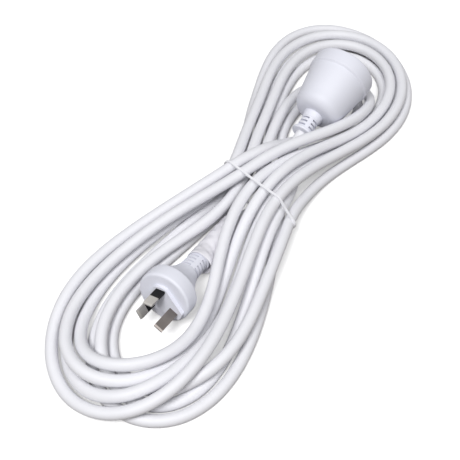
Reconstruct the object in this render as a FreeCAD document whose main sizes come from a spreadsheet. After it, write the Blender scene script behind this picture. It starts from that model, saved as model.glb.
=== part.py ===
import FreeCAD, Part
import Sketcher
import math
import os

# Extension cord, put away as a tied hank: a flat three pin plug, a loose label sleeve,
# seven figure-of-eight loops of round cord, a trailing socket and the tie at the waist.
# Millimetres. X runs along the hank towards the socket, Y to its left, Z up.

Vector = FreeCAD.Vector
Rotation = FreeCAD.Rotation
Placement = FreeCAD.Placement

SIZES = {
    # cord
    "cord_diameter": 8.0,
    "cord_sides": 6,
    "cord_flat": 0.8,
    "core_diameter": 2.4,
    "core_ring": 1.75,
    "core_lead": 3.0,
    "core_sides": 6,
    "turned_sides": 32,
    # hank
    "strand_clearance": 9.3,
    "tie_half_span": 26.4,
    "knot_step": 23.0,
    # tie
    "tie_width": 3.2,
    "tie_thickness": 1.0,
    "tie_gap": 0.6,
    # plug
    "plug_radius": 18.2,
    "plug_rim": 9.5,
    "plug_rim_round": 1.6,
    "plug_cone_bend": 17.5,
    "plug_cone_bend_radius": 12.6,
    "plug_cone_end": 27.0,
    "plug_neck_radius": 8.6,
    "plug_length": 44.0,
    "plug_core_turn": 26.0,
    "relief_radius": 7.5,
    "relief_end_radius": 6.8,
    "relief_step": 0.8,
    "relief_collar": 2.6,
    "relief_slot": 1.7,
    "relief_pitch": 4.0,
    "relief_web": 5.0,
    "plug_x": -112.0,
    "plug_y": 27.0,
    "plug_heading": 169.5,
    "plug_pitch": 13.0,
    "plug_roll": 66.0,
    "floor_clearance": 0.3,
    # pins
    "pin_width": 6.35,
    "pin_thickness": 1.63,
    "pin_length": 17.06,
    "earth_length": 19.94,
    "pin_circle": 7.92,
    "earth_drop": 10.31,
    "pin_shank": 9.0,
    "pin_tip": 1.2,
    "pin_tip_cut": 0.45,
    "sleeve_length": 9.5,
    "sleeve_wall": 0.4,
    "bridge_height": 2.6,
    "bridge_depth": 3.0,
    "bridge_wall": 2.2,
    "bridge_corner": 9.0,
    "moulding_gap": 0.05,
    "crimp_length": 5.0,
    "crimp_radius": 1.9,
    # socket
    "socket_radius": 24.0,
    "socket_round": 1.8,
    "socket_ring": 11.2,
    "socket_step": 0.8,
    "socket_wall": 3.4,
    "socket_shoulder": 40.0,
    "socket_shoulder_radius": 17.0,
    "socket_bend": 46.5,
    "socket_bend_radius": 13.0,
    "socket_length": 51.0,
    "socket_neck_radius": 8.4,
    "socket_core_turn": 43.0,
    "socket_relief": 13.0,
    "socket_relief_radius": 6.8,
    "socket_collar": 2.6,
    "socket_collar_radius": 8.2,
    "socket_x": 114.9,
    "socket_y": -26.9,
    "socket_z": 35.0,
    "socket_heading": -13.8,
    "socket_pitch": 14.0,
    "socket_roll": 35.0,
    "face_thickness": 22.0,
    "face_recess": 1.2,
    "slot_clearance": 0.6,
    "slot_depth": 5.0,
    "clip_length": 14.0,
    "clip_width": 5.4,
    "clip_wall": 0.5,
    "clip_gap": 0.1,
    # label sleeve
    "label_wall": 0.6,
    "label_width": 18.0,
    "label_height": 10.8,
}

doc = FreeCAD.newDocument("ExtensionCord")
sheet = doc.addObject("Spreadsheet::Sheet", "Sizes")
for row, alias in enumerate(SIZES, start=1):
    sheet.set("A%d" % row, alias)
    sheet.set("B%d" % row, str(SIZES[alias]))
    sheet.setAlias("B%d" % row, alias)
doc.recompute()


# Sizes written as short sums, such as "plug_radius - 0.5*pin_width"

def number(text):
    total = 0.0
    sign = 1.0
    for token in str(text).split():
        if token in "+-":
            sign = -1.0 if token == "-" else 1.0
            continue
        product = sign
        for factor in token.split("*"):
            product *= SIZES[factor] if factor in SIZES else float(factor)
        total += product
        sign = 1.0
    return total


def formula(text):
    words = []
    for token in str(text).split():
        factors = ["Sizes." + f if f in SIZES else f for f in token.split("*")]
        words.append("*".join(factors))
    return " ".join(words)


# Sketches, pads and revolutions

def origin_plane(body, role):
    for feature in body.Origin.OriginFeatures:
        if feature.Role == role:
            return feature
    raise ValueError(role)


def new_body(label):
    body = doc.addObject("PartDesign::Body", label)
    body.Label = label
    return body


def new_sketch(body, name, role, lift=None):
    sketch = body.newObject("Sketcher::SketchObject", name)
    sketch.AttachmentSupport = [(origin_plane(body, role), "")]
    sketch.MapMode = "FlatFace"
    if lift is not None:
        sketch.setExpression("AttachmentOffset.Base.z", formula(lift))
    return sketch


def pin_down(sketch, edge, end, x_text, y_text):
    for kind, text, axis in (("DistanceX", x_text, -2), ("DistanceY", y_text, -1)):
        if text == "0":
            sketch.addConstraint(Sketcher.Constraint("PointOnObject", edge, end, axis))
            continue
        index = sketch.addConstraint(Sketcher.Constraint(kind, -1, 1, edge, end, number(text)))
        sketch.setExpression("Constraints[%d]" % index, formula(text))


def outline(sketch, corners):
    """corners: (x, y), or (x, y, radius, side) where an arc leaves it, bulging left (1) or right (-1)"""
    count = len(corners)
    points = [Vector(number(c[0]), number(c[1]), 0) for c in corners]
    base = sketch.GeometryCount
    ends = []
    for a, b, corner in zip(points, points[1:] + points[:1], corners):
        if len(corner) == 2:
            sketch.addGeometry(Part.LineSegment(a, b), False)
            ends.append((1, 2))
            continue
        radius = number(corner[2])
        half = (b - a) * 0.5
        left = Vector(-half.y, half.x, 0).normalize() * corner[3]
        centre = a + half - left * math.sqrt(radius ** 2 - half.Length ** 2)
        first, last = (b, a) if corner[3] > 0 else (a, b)
        angles = [math.atan2(p.y - centre.y, p.x - centre.x) for p in (first, last)]
        circle = Part.Circle(centre, Vector(0, 0, 1), radius)
        sketch.addGeometry(Part.ArcOfCircle(circle, angles[0], angles[1]), False)
        ends.append((2, 1) if corner[3] > 0 else (1, 2))
    for i in range(count):
        after = (i + 1) % count
        joint = (base + i, ends[i][1], base + after, ends[after][0])
        sketch.addConstraint(Sketcher.Constraint("Coincident", *joint))
    for i, corner in enumerate(corners):
        pin_down(sketch, base + i, ends[i][0], corner[0], corner[1])
        if len(corner) > 2:
            index = sketch.addConstraint(Sketcher.Constraint("Radius", base + i, number(corner[2])))
            sketch.setExpression("Constraints[%d]" % index, formula(corner[2]))


def box_corners(x, y, width, depth):
    return [(x + " - 0.5*" + width, y + " - 0.5*" + depth), (x + " + 0.5*" + width, y + " - 0.5*" + depth),
            (x + " + 0.5*" + width, y + " + 0.5*" + depth), (x + " - 0.5*" + width, y + " + 0.5*" + depth)]


def pad(body, name, sketch, length, both=False):
    feature = body.newObject("PartDesign::Pad", name)
    feature.Profile = sketch
    feature.setExpression("Length", formula(length))
    if both:
        feature.SideType = "Symmetric"
    doc.recompute()
    return feature


# Where the plug and the socket lie

def lay(x, y, z, heading, pitch, roll):
    """local Z points along the heading, tipped up by the pitch; roll turns the piece about it"""
    turn = Rotation(Vector(0, 0, 1), heading).multiply(Rotation(Vector(0, 1, 0), 90.0 - pitch))
    return Placement(Vector(x, y, z), turn.multiply(Rotation(Vector(0, 0, 1), 90.0 + roll)))


tilt = math.radians(SIZES["plug_pitch"])
plug_height = (SIZES["plug_radius"] * math.cos(tilt) + SIZES["plug_rim"] * math.sin(tilt)
               + SIZES["floor_clearance"])
plug_place = lay(SIZES["plug_x"], SIZES["plug_y"], plug_height,
                 SIZES["plug_heading"], SIZES["plug_pitch"], SIZES["plug_roll"])
socket_place = lay(SIZES["socket_x"], SIZES["socket_y"], SIZES["socket_z"],
                   SIZES["socket_heading"], SIZES["socket_pitch"], SIZES["socket_roll"])
socket_back = SIZES["socket_length"] + SIZES["socket_relief"]


def at(place, x, y, z=0.0, turn=0.0):
    return place.multiply(Placement(Vector(x, y, z), Rotation(Vector(0, 0, 1), turn)))


subparts = []


def keep(item, label, place=None):
    item.Label = label
    if place is not None:
        item.Placement = place
    subparts.append(item)
    return item


# Paths of straight runs joined by tangent arcs

def rounded_path(points, label):
    edges = []
    radii = []
    here = points[0]
    for before, corner, after in zip(points, points[1:], points[2:]):
        back = (before - corner)
        ahead = (after - corner)
        shorter = min(back.Length, ahead.Length)
        back.normalize()
        ahead.normalize()
        half_turn = (math.pi - back.getAngle(ahead)) / 2
        reach = 0.45 * shorter
        radii.append(round(reach / math.tan(half_turn), 1))
        first = corner + back * reach
        last = corner + ahead * reach
        inward = (back + ahead).normalize()
        middle = corner + inward * (reach / math.tan(half_turn) * (1 / math.cos(half_turn) - 1))
        edges.append(Part.LineSegment(here, first).toShape())
        edges.append(Part.Arc(first, middle, last).toShape())
        here = last
    edges.append(Part.LineSegment(here, points[-1]).toShape())
    if radii:
        print(label, "bend radii", radii)
    return Part.Wire(edges)


def ring_of_corners(centre, direction, radius, sides):
    across = Vector(0, 0, 1).cross(direction)
    if across.Length < 0.1:
        across = Vector(1, 0, 0)
    across.normalize()
    up = direction.cross(across)
    corners = []
    for k in range(sides + 1):
        a = 2 * math.pi * (k % sides + 0.5) / sides
        corners.append(centre + across * (radius * math.cos(a)) + up * (radius * math.sin(a)))
    return Part.makePolygon(corners)


def tube(wire, radius, sides=SIZES["cord_sides"]):
    """a many sided bar along a wire, its corners at the radius"""
    start = wire.Edges[0].Vertexes[0].Point
    direction = wire.Edges[0].tangentAt(wire.Edges[0].FirstParameter)
    return wire.makePipeShell([ring_of_corners(start, direction, radius, sides)], True, False)


def share_of_section(piece, wire, radius, sides=SIZES["cord_sides"]):
    """volume of a bar against its section times its length"""
    section = sides / 2 * radius ** 2 * math.sin(2 * math.pi / sides)
    return round(piece.Volume / wire.Length / section, 4)


def feature(label, shape, place=None):
    item = doc.addObject("Part::Feature", label)
    item.Shape = shape
    if place is not None:
        item.Placement = place
    return item


# Plug: flat blades, their insulation, the bridge they stand in and what the moulding holds

pin_spots = {}
for name, side in (("active", 1), ("neutral", -1)):
    angle = math.radians(60.0) * side
    pin_spots[name] = (SIZES["pin_circle"] * math.sin(angle), SIZES["pin_circle"] * math.cos(angle),
                       30.0 * side)
pin_spots["earth"] = (0.0, -SIZES["earth_drop"], 0.0)


def blade_corners(root, tip):
    """side of a flat blade, its tip bevelled on both faces"""
    edge = "0.5*pin_thickness"
    return [("- " + edge, root), (edge, root), (edge, tip + " - pin_tip"), (edge + " - pin_tip_cut", tip),
            ("- " + edge + " + pin_tip_cut", tip), ("- " + edge, tip + " - pin_tip")]


neck_corners = [("- 0.5*pin_thickness + sleeve_wall", "- 0.5*pin_width + sleeve_wall"),
                ("0.5*pin_thickness - sleeve_wall", "- 0.5*pin_width + sleeve_wall"),
                ("0.5*pin_thickness - sleeve_wall", "0.5*pin_width - sleeve_wall"),
                ("- 0.5*pin_thickness + sleeve_wall", "0.5*pin_width - sleeve_wall")]

for name in ("active", "neutral"):
    pin = new_body(name + "_pin")
    root = new_sketch(pin, name + "_root", "XY_Plane", "- pin_shank")
    outline(root, box_corners("0", "0", "pin_thickness", "pin_width"))
    pad(pin, name + "_shank", root, "pin_shank - bridge_depth")
    waist = new_sketch(pin, name + "_waist", "XY_Plane", "- bridge_depth")
    outline(waist, neck_corners)
    pad(pin, name + "_neck", waist, "bridge_depth + sleeve_length")
    blade = new_sketch(pin, name + "_blade", "XZ_Plane")
    outline(blade, blade_corners("sleeve_length", "pin_length"))
    pad(pin, name + "_tip", blade, "pin_width", both=True)
    x, y, turn = pin_spots[name]
    keep(pin, name + "_pin", at(plug_place, x, y, 0, turn))

    sleeve = new_body(name + "_pin_sleeve")
    skin = new_sketch(sleeve, name + "_skin", "XY_Plane", "- bridge_depth")
    outline(skin, box_corners("0", "0", "pin_thickness", "pin_width"))
    outline(skin, neck_corners)
    pad(sleeve, name + "_skin_pad", skin, "bridge_depth + sleeve_length")
    keep(sleeve, name + "_pin_sleeve", at(plug_place, x, y, 0, turn))

earth = new_body("earth_pin")
blade = new_sketch(earth, "earth_blade", "XZ_Plane")
outline(blade, blade_corners("- pin_shank", "earth_length"))
pad(earth, "earth_pad", blade, "pin_width", both=True)
keep(earth, "earth_pin", at(plug_place, *pin_spots["earth"][:2]))


# Cores from each crimp to the middle of the cord, and the channels that hold them

def core_runs(x, y, near, far, exit_z):
    """a core from a crimp at x, y back to its place in the cord's middle, each bend in two halves"""
    size = math.hypot(x, y)
    ring_x = x / size * SIZES["core_ring"]
    ring_y = y / size * SIZES["core_ring"]
    runs = [Vector(x, y, near), Vector(x, y, near - SIZES["core_lead"]),
            Vector(ring_x, ring_y, far), Vector(ring_x, ring_y, exit_z)]
    points = [runs[0]]
    for before, corner, after in zip(runs, runs[1:], runs[2:]):
        for side in (before, after):
            points.append(corner + (side - corner).normalize() * (0.6 * SIZES["core_lead"]))
    return points + [runs[-1]]


def mitred_bar(points, radius):
    section = ring_of_corners(points[0], (points[1] - points[0]).normalize(), radius, SIZES["core_sides"])
    return Part.makePolygon(points).makePipeShell([section], True, False, 1)


def inner_pieces(prefix, place, spots, crimp_top, far, exit_z):
    """crimps and cores of one moulding; returns the hollow they leave in it"""
    hollows = []
    gap = SIZES["moulding_gap"]
    colours = {"active": "brown", "neutral": "blue", "earth": "green_yellow"}
    for name, (x, y, turn) in spots.items():
        crimp = doc.addObject("Part::Prism", prefix + name + "_crimp")
        crimp.Polygon = SIZES["core_sides"]
        crimp.setExpression("Circumradius", formula("crimp_radius"))
        crimp.setExpression("Height", formula("crimp_length"))
        doc.recompute()
        bottom = crimp_top - SIZES["crimp_length"]
        keep(crimp, prefix + name + "_crimp", at(place, x, y, bottom))
        points = core_runs(x, y, bottom, far, exit_z)
        label = prefix + colours[name] + "_core"
        keep(feature(label, mitred_bar(points, SIZES["core_diameter"] / 2)), label, place)
        hollows.append(mitred_bar(points, SIZES["core_diameter"] / 2 + gap))
        corners = []
        for k in range(SIZES["core_sides"] + 1):
            a = 2 * math.pi * (k % SIZES["core_sides"]) / SIZES["core_sides"]
            reach = SIZES["crimp_radius"] + gap
            corners.append(Vector(x + reach * math.cos(a), y + reach * math.sin(a), bottom))
        rise = Vector(0, 0, SIZES["crimp_length"] + gap)
        hollows.append(Part.Face(Part.makePolygon(corners)).extrude(rise))
    return hollows


def turned_form(label, rings):
    """a turned piece as a ruled stack of many sided rings, each a radius and a height"""
    sections = []
    for i, (radius, height) in enumerate(rings):
        ring = doc.addObject("Part::RegularPolygon", "%s_ring_%d" % (label, i))
        ring.Polygon = SIZES["turned_sides"]
        ring.setExpression("Circumradius", formula(radius))
        ring.setExpression("Placement.Base.z", formula(height))
        sections.append(ring)
    form = doc.addObject("Part::Loft", label)
    form.Sections = sections
    form.Solid = True
    form.Ruled = True
    doc.recompute()
    faces = []
    for side in form.Shape.Faces:
        corners = [v.Point for v in side.OuterWire.OrderedVertexes]
        faces.append(Part.Face(Part.makePolygon(corners + corners[:1])))
    return feature(label + "_flats", Part.makeSolid(Part.makeShell(faces)))


def slot_boxes(first, count, quarter):
    """matching slots on both sides of a strain relief, the first one's floor at a height"""
    web = SIZES["relief_web"]
    boxes = []
    for k in range(count):
        low = first - k * SIZES["relief_pitch"]
        for near in (web, -3 * web):
            box = Part.makeBox(2 * web, 6 * web, SIZES["relief_slot"], Vector(near, -3 * web, low))
            box.rotate(Vector(), Vector(0, 0, 1), 90.0 * quarter)
            boxes.append(box)
    return boxes


def hollowed(label, blank, cuts):
    piece = doc.addObject("Part::Cut", label)
    piece.Base = blank
    piece.Tool = feature(label + "_cuts", cuts[0].fuse(cuts[1:]))
    doc.recompute()
    return piece


def turned_box(x, y, turn, thick, wide, low, high):
    box = Part.makeBox(thick, wide, high - low, Vector(-thick / 2, -wide / 2, low))
    box.Placement = Placement(Vector(x, y, 0), Rotation(Vector(0, 0, 1), turn))
    return box


plug_hollows = inner_pieces("plug_", plug_place, pin_spots, -SIZES["pin_shank"],
                             -SIZES["plug_core_turn"], -SIZES["plug_length"])
gap2 = 2 * SIZES["moulding_gap"]
for name, (x, y, turn) in pin_spots.items():
    plug_hollows.append(turned_box(x, y, turn, SIZES["pin_thickness"] + gap2, SIZES["pin_width"] + gap2,
                                   -SIZES["pin_shank"], 1.0))

# The bridge stands out of the face between the pins, and its foot sits in a recess of the moulding

bridge = new_body("bridge_blank")
bridge_plan = new_sketch(bridge, "bridge_plan", "XY_Plane", "- bridge_depth")
outline(bridge_plan, [("- 0.5*pin_width", "- earth_drop - 0.5*pin_width - bridge_wall", "bridge_corner", -1),
                      ("0.5*pin_width", "- earth_drop - 0.5*pin_width - bridge_wall"),
                      ("pin_circle + bridge_wall", "0.2*pin_circle", "bridge_corner", -1),
                      ("0.62*pin_circle", "pin_circle + 0.5*bridge_wall"),
                      ("- 0.62*pin_circle", "pin_circle + 0.5*bridge_wall", "bridge_corner", -1),
                      ("- pin_circle - bridge_wall", "0.2*pin_circle")])
pad(bridge, "bridge_pad", bridge_plan, "bridge_depth + bridge_height")
bridge_cuts = [turned_box(x, y, turn, SIZES["pin_thickness"] + gap2, SIZES["pin_width"] + gap2,
                          -SIZES["pin_shank"], 10.0) for x, y, turn in pin_spots.values()]
keep(hollowed("bridge_piece", bridge, bridge_cuts), "plug_pin_bridge", plug_place)
plug_hollows.append(bridge.Shape.copy())

plug = turned_form("plug_blank", [
    ("plug_radius - plug_rim_round", "0"),
    ("plug_radius", "- plug_rim_round"),
    ("plug_radius", "- plug_rim + plug_rim_round"),
    ("plug_radius - plug_rim_round", "- plug_rim"),
    ("plug_cone_bend_radius", "- plug_cone_bend"),
    ("plug_neck_radius", "- plug_cone_end"),
    ("relief_radius", "- plug_cone_end - relief_step"),
    ("relief_end_radius", "- plug_length + relief_collar + relief_step"),
    ("relief_end_radius + relief_step", "- plug_length + relief_collar"),
    ("relief_end_radius + relief_step", "- plug_length")])
relief_top = -SIZES["plug_cone_end"] - 2 * SIZES["relief_slot"]
plug_hollows += slot_boxes(relief_top, 3, 0)
plug_hollows += slot_boxes(relief_top - SIZES["relief_pitch"] / 2, 2, 1)
keep(hollowed("plug_piece", plug, plug_hollows), "plug_body", plug_place)


# Socket: shell, slotted face, three spring clips and what the moulding holds

socket_spots = {name: (-x, y, -turn) for name, (x, y, turn) in pin_spots.items()}
face_rear = SIZES["face_recess"] + SIZES["face_thickness"]
clip_thick = SIZES["pin_thickness"] + 2 * SIZES["clip_gap"] + 2 * SIZES["clip_wall"]

for name, (x, y, turn) in socket_spots.items():
    clip = new_body(name + "_clip")
    bend = new_sketch(clip, name + "_clip_bend", "XZ_Plane")
    inner = "0.5*pin_thickness + clip_gap"
    minus_inner = "- 0.5*pin_thickness - clip_gap"
    outline(bend, [(minus_inner + " - clip_wall", "0"), (inner + " + clip_wall", "0"),
                   (inner + " + clip_wall", "clip_length"), (inner, "clip_length"),
                   (inner, "clip_wall"), (minus_inner, "clip_wall"),
                   (minus_inner, "clip_length"), (minus_inner + " - clip_wall", "clip_length")])
    pad(clip, name + "_clip_pad", bend, "clip_width", both=True)
    keep(clip, name + "_clip", at(socket_place, x, y, -face_rear + SIZES["moulding_gap"], turn))

face = turned_form("face_blank", [
    ("socket_radius - socket_wall - socket_step - moulding_gap", "- face_recess"),
    ("socket_radius - socket_wall - moulding_gap", "- face_recess - socket_step"),
    ("socket_radius - socket_wall - moulding_gap", "- face_recess - face_thickness")])
face_cuts = []
for x, y, turn in socket_spots.values():
    face_cuts.append(turned_box(x, y, turn, SIZES["pin_thickness"] + SIZES["slot_clearance"],
                                SIZES["pin_width"] + SIZES["slot_clearance"], -face_rear - 1, 1))
    face_cuts.append(turned_box(x, y, turn, clip_thick + gap2, SIZES["pin_width"] + SIZES["slot_clearance"],
                                -face_rear - 1, -SIZES["face_recess"] - SIZES["slot_depth"]))
keep(hollowed("face_piece", face, face_cuts), "socket_face", socket_place)

socket = turned_form("socket_blank", [
    ("socket_radius - socket_round", "0"),
    ("socket_radius", "- socket_round"),
    ("socket_radius", "- socket_ring"),
    ("socket_radius - socket_step", "- socket_ring - socket_step"),
    ("socket_shoulder_radius", "- socket_shoulder"),
    ("socket_bend_radius", "- socket_bend"),
    ("socket_neck_radius", "- socket_length"),
    ("socket_relief_radius", "- socket_length - socket_step"),
    ("socket_relief_radius", "- socket_length - socket_relief + socket_collar + socket_step"),
    ("socket_collar_radius", "- socket_length - socket_relief + socket_collar"),
    ("socket_collar_radius", "- socket_length - socket_relief")])
bore = turned_form("socket_bore", [
    ("socket_radius - socket_wall", "1"),
    ("socket_radius - socket_wall", "- face_recess - face_thickness")])
socket_hollows = inner_pieces("socket_", socket_place, socket_spots, -face_rear, -SIZES["socket_core_turn"],
                              -socket_back)
socket_hollows.append(bore.Shape.copy())
socket_slot = -SIZES["socket_length"] - 2 * SIZES["relief_slot"]
socket_hollows += slot_boxes(socket_slot, 2, 0)
socket_hollows += slot_boxes(socket_slot - SIZES["relief_pitch"] / 2, 1, 1)
keep(hollowed("socket_piece", socket, socket_hollows), "socket_body", socket_place)


# Route of the cord, from one moulding through the hank to the other

CORD = SIZES["cord_diameter"]
TIE_LIFT = SIZES["tie_thickness"] + SIZES["tie_gap"] + SIZES["cord_flat"] + 0.2

# Poses of the two ends. The cord leaves each moulding along its axis

def aim(heading, pitch):
    h = math.radians(heading)
    p = math.radians(pitch)
    return [math.cos(p) * math.cos(h), math.cos(p) * math.sin(h), math.sin(p)]


def unit(v):
    size = math.hypot(*v)
    return [c / size for c in v]


def shifted(point, way, far):
    return [p + w * far for p, w in zip(point, way)]


def mix(a, b, share):
    return [p + (q - p) * share for p, q in zip(a, b)]


plug_aim = aim(SIZES["plug_heading"], SIZES["plug_pitch"])
socket_aim = aim(SIZES["socket_heading"], SIZES["socket_pitch"])
plug_rise = math.radians(SIZES["plug_pitch"])
plug_face = [SIZES["plug_x"], SIZES["plug_y"], SIZES["plug_radius"] * math.cos(plug_rise)
            + SIZES["plug_rim"] * math.sin(plug_rise) + SIZES["floor_clearance"]]
socket_face = [SIZES["socket_x"], SIZES["socket_y"], SIZES["socket_z"]]
plug_exit = shifted(plug_face, plug_aim, -SIZES["plug_length"])
socket_back = SIZES["socket_length"] + SIZES["socket_relief"]
socket_exit = shifted(socket_face, socket_aim, -socket_back)
socket_form = [(0.0, SIZES["socket_radius"]), (SIZES["socket_ring"], SIZES["socket_radius"]),
              (SIZES["socket_shoulder"], SIZES["socket_shoulder_radius"]),
              (SIZES["socket_length"], SIZES["socket_neck_radius"]),
              (socket_back, SIZES["socket_collar_radius"])]
hank_start = [-25.0, 7.0, 5.7]
hank_end = [20.0, -4.5, 6.8]
start_aim = unit([11.0, -6.0, -0.5])
end_aim = unit([13.5, -2.5, 3.6])
plug_tail = [plug_exit, shifted(plug_exit, plug_aim, -6.0),
            shifted(hank_start, start_aim, -6.0), hank_start]
socket_tail = [hank_end, shifted(hank_end, end_aim, 10.0),
              shifted(socket_exit, socket_aim, -10.0), socket_exit]

# Hank: one path through every lane of the waist, an upper and a lower loop by turns.
# A lane is how far along the tie a strand crosses it, and its height there

floor_z = CORD / 2 - SIZES["cord_flat"]
low = floor_z + 0.25
middle = low + 0.87 * CORD
high = middle + 0.87 * CORD
tie = unit([0.40, 0.917, 0.0])
waist = [-9.0, 1.0]
lanes = {"x1": (23.5, low), "x2": (17.8, middle), "x3": (11.5, low), "x4": (5.2, middle),
         "x5": (-0.6, low), "P": (-9.8, low), "y2": (-16.7, middle), "y1": (-23.6, low),
         "L1": (24.7, high - 3), "L2": (16.7, high), "R5": (8.0, high), "R4": (-0.6, high),
         "R3": (-8.6, high), "R2": (-16.7, high), "R1": (-24.7, high - 4)}
upper_loops = [("x1", "R1"), ("x2", "R2"), ("x3", "R3"), ("x4", "R4"), ("x5", "R5"), ("P", "L2"),
              ("y2", "L1")]
outer_loops = [("L1", "R2"), ("x1", "R3"), ("L2", "R4"), ("x2", "R5")]
inner_loops = [("x3", "y1"), ("x4", "y2"), ("x5", "R1")]
left_side = {"L1": 88.0, "x1": 84.0, "L2": 80.0, "x2": 76.0, "x3": 62.7, "x4": 58.0, "x5": 53.8}
left_near = {"L1": 70.0, "x1": 67.9, "L2": 58.7, "x2": 58.7, "x3": 47.2, "x4": 41.4, "x5": 35.7}
right_side = {"y1": -28.2, "y2": -19.3, "R1": -23.7, "R2": -10.6, "R3": -6.2, "R4": -1.8, "R5": 2.8}
right_near = {"y1": -28.2, "y2": -19.6, "R1": -23.7, "R2": -15.0, "R3": -7.5, "R4": 0.0, "R5": 8.0}


def waist_point(name):
    lane, z = lanes[name]
    return [waist[0] + tie[0] * lane, waist[1] + tie[1] * lane, z]


def past_tie(q):
    return (q[0] - waist[0]) * tie[1] - (q[1] - waist[1]) * tie[0]


def over_tie(q):
    return (q[0] - waist[0]) * tie[0] + (q[1] - waist[1]) * tie[1]


def upper_loop(n, left_name, right_name):
    under_socket = n > 4
    z = low if n % 2 == 0 else middle
    left = 33.0 - 5.1 * n
    right = -76.8 + 4.0 * n
    centre_x = 122.0 - (16.2 + 9.2 * (n - 5) if under_socket else 0.0)
    half_x = 31.0 - 2.2 * (n - 5) if under_socket else 72.5 - 6.4 * n
    points = [waist_point(left_name), [39.1, 28.8 - 4.95 * n, low if n % 2 == 0 else middle - 2],
              [75.9, left - 1.2, z]]
    for degrees in range(90, -91, -30):
        a = math.radians(degrees)
        lean = 9.2 if degrees <= 0 else 31.0 if n == 0 else 23.0 - 2.3 * n
        lift = 0.0 if degrees <= 0 else 13.8 if n == 0 else 3.5
        if under_socket:
            lean = 0.0
            lift = 0.0
        across = math.sin(a)
        points.append([centre_x + half_x * math.cos(a) + lean * across * math.cos(a),
                       (left + right) / 2 + (left - right) / 2 * across + lift * math.sin(2 * a),
                       low + (z - low) * abs(across) if under_socket else z])
    points += [[75.9, -60.7 + 4.0 * n, z + 2.3], [36.8, -33.8 + 5.1 * n, 11.5 + 0.7 * n],
               waist_point(right_name)]
    return points


def lower_loop(left_name, right_name):
    outer = (left_name, right_name) in outer_loops
    n = (outer_loops if outer else inner_loops).index((left_name, right_name))
    half_x = 69.2 - 8.4 * n if outer else 61.5 - 8.4 * n
    crown = middle + 3 if outer else low
    left = left_side[left_name]
    right = right_side[right_name]
    left_z = middle if left_name in ("L1", "L2", "x4") else low
    right_z = middle if right_name in ("R1", "R3", "R5") else low
    raised = 1.0 if left_name[0] == "L" else 0.0
    skew = 2.3 if outer else 0.0
    points = [waist_point(left_name), [-63.3, left_near[left_name], left_z + raised]]
    for degrees in range(90, -91, -30):
        a = math.radians(degrees)
        share = min(1.0, 2.2 * (1.0 - abs(degrees) / 90.0))
        side = left_z if degrees > 0 else right_z
        points.append([-124.2 - half_x * math.cos(a),
                       (left + right) / 2 + (left - right) / 2 * math.sin(a) - skew * math.cos(a),
                       side + (crown - side) * share])
    near_z = middle + 1 if right_name[0] == "R" else right_z
    points += [[-63.3, right_near[right_name], near_z], waist_point(right_name)]
    return points


def hank_stations():
    points = [hank_start]
    name = "P"
    upper = True
    while not (upper and name == "y1"):
        loops = upper_loops if upper else outer_loops + inner_loops
        pair = [p for p in loops if name in p][0]
        loop = upper_loop(loops.index(pair), *pair) if upper else lower_loop(*pair)
        if name == pair[1]:
            loop.reverse()
        points += loop if points[-1] == hank_start else loop[1:]
        name = pair[0] if name == pair[1] else pair[1]
        upper = not upper
    return points + [hank_end]


def even_points(stations, step):
    # points an even step apart on a smooth line through the stations
    ended = [mix(stations[1], stations[0], 2.0)] + stations + [mix(stations[-2], stations[-1], 2.0)]
    fine = []
    for a, b, c, d in zip(ended, ended[1:], ended[2:], ended[3:]):
        t1 = math.dist(a, b) ** 0.5
        t2 = t1 + math.dist(b, c) ** 0.5
        t3 = t2 + math.dist(c, d) ** 0.5
        for j in range(24):
            t = t1 + (t2 - t1) * j / 24
            ab = mix(a, b, t / t1)
            bc = mix(b, c, (t - t1) / (t2 - t1))
            cd = mix(c, d, (t - t2) / (t3 - t2))
            fine.append(mix(mix(ab, bc, t / t2), mix(bc, cd, (t - t1) / (t3 - t1)), (t - t1) / (t2 - t1)))
    fine.append(list(stations[-1]))
    total = sum(math.dist(a, b) for a, b in zip(fine, fine[1:]))
    count = round(total / step)
    even = [fine[0]]
    walked = 0.0
    for a, b in zip(fine, fine[1:]):
        long = math.dist(a, b)
        while len(even) < count and walked + long >= len(even) * total / count:
            even.append(mix(a, b, (len(even) * total / count - walked) / long))
        walked += long
    return even + [fine[-1]]


def near_rows():
    # what the strands keep clear of: points along each solid piece, each with its reach
    rows = []
    side = unit([-start_aim[1], start_aim[0], 0.0])
    steps = 30
    for k in range(steps + 1):
        spot = mix(plug_tail[1], hank_start, k / steps)
        for across in (-1, 0, 1):
            rows.append(shifted(spot, side, across * (SIZES["label_width"] - SIZES["label_height"]) / 2)
                        + [SIZES["label_height"] / 2 + CORD / 2 + 0.6])
        rows.append(mix(hank_end, socket_exit, k / steps) + [CORD + 0.6])
        back = socket_back * k / steps
        for (near, wide), (far, narrow) in zip(socket_form, socket_form[1:]):
            if near <= back <= far:
                wide += (narrow - wide) * (back - near) / (far - near)
                rows.append(shifted(socket_face, socket_aim, -back) + [wide + CORD / 2 + 0.6])
    return rows


# Settling: the strand is a line that knots pull, four samples to a knot

cuts = 4
weights = []
for j in range(cuts):
    u = (j + 0.5) / cuts
    weights.append((0.5 * (1 - u) ** 2, 0.5 + u * (1 - u), 0.5 * u * u))


def floor_under(q):
    # the waist lies higher, because the tie goes under it
    away = past_tie(q) / 32.0
    return floor_z + TIE_LIFT * max(0.0, 1.0 - away * away)


def samples_of(knots):
    spots = []
    for a, b, c in zip(knots, knots[1:], knots[2:]):
        for u, v, w in weights:
            spots.append([u * p + v * q + w * r for p, q, r in zip(a, b, c)])
    return spots


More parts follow.
